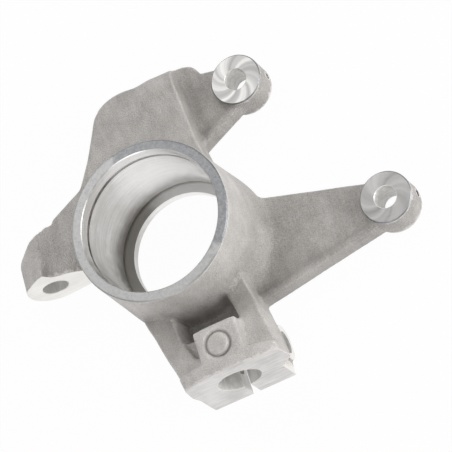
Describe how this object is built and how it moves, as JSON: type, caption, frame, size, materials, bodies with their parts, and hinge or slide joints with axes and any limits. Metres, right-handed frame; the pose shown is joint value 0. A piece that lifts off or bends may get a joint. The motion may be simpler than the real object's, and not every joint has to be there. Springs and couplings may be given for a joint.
{
  "type": "steering knuckle",
  "caption": "Cast aluminium steering knuckle: bearing barrel with two caliper arms, upper upright, tie rod lug and a slit clamp for the lower ball joint stud.",
  "frame": {"origin": "centre of the wheel bearing, on the wheel axis", "axes": "+Z along the wheel axis, pointing outboard; +Y up on the vehicle; +X towards the brake caliper"},
  "size_m": [0.1834, 0.1569, 0.05],
  "materials": {
    "cast_aluminium": "satin"
  },
  "bodies": {
    "root": {"knuckle_casting": "cast_aluminium"}
  },
  "joints": []
}
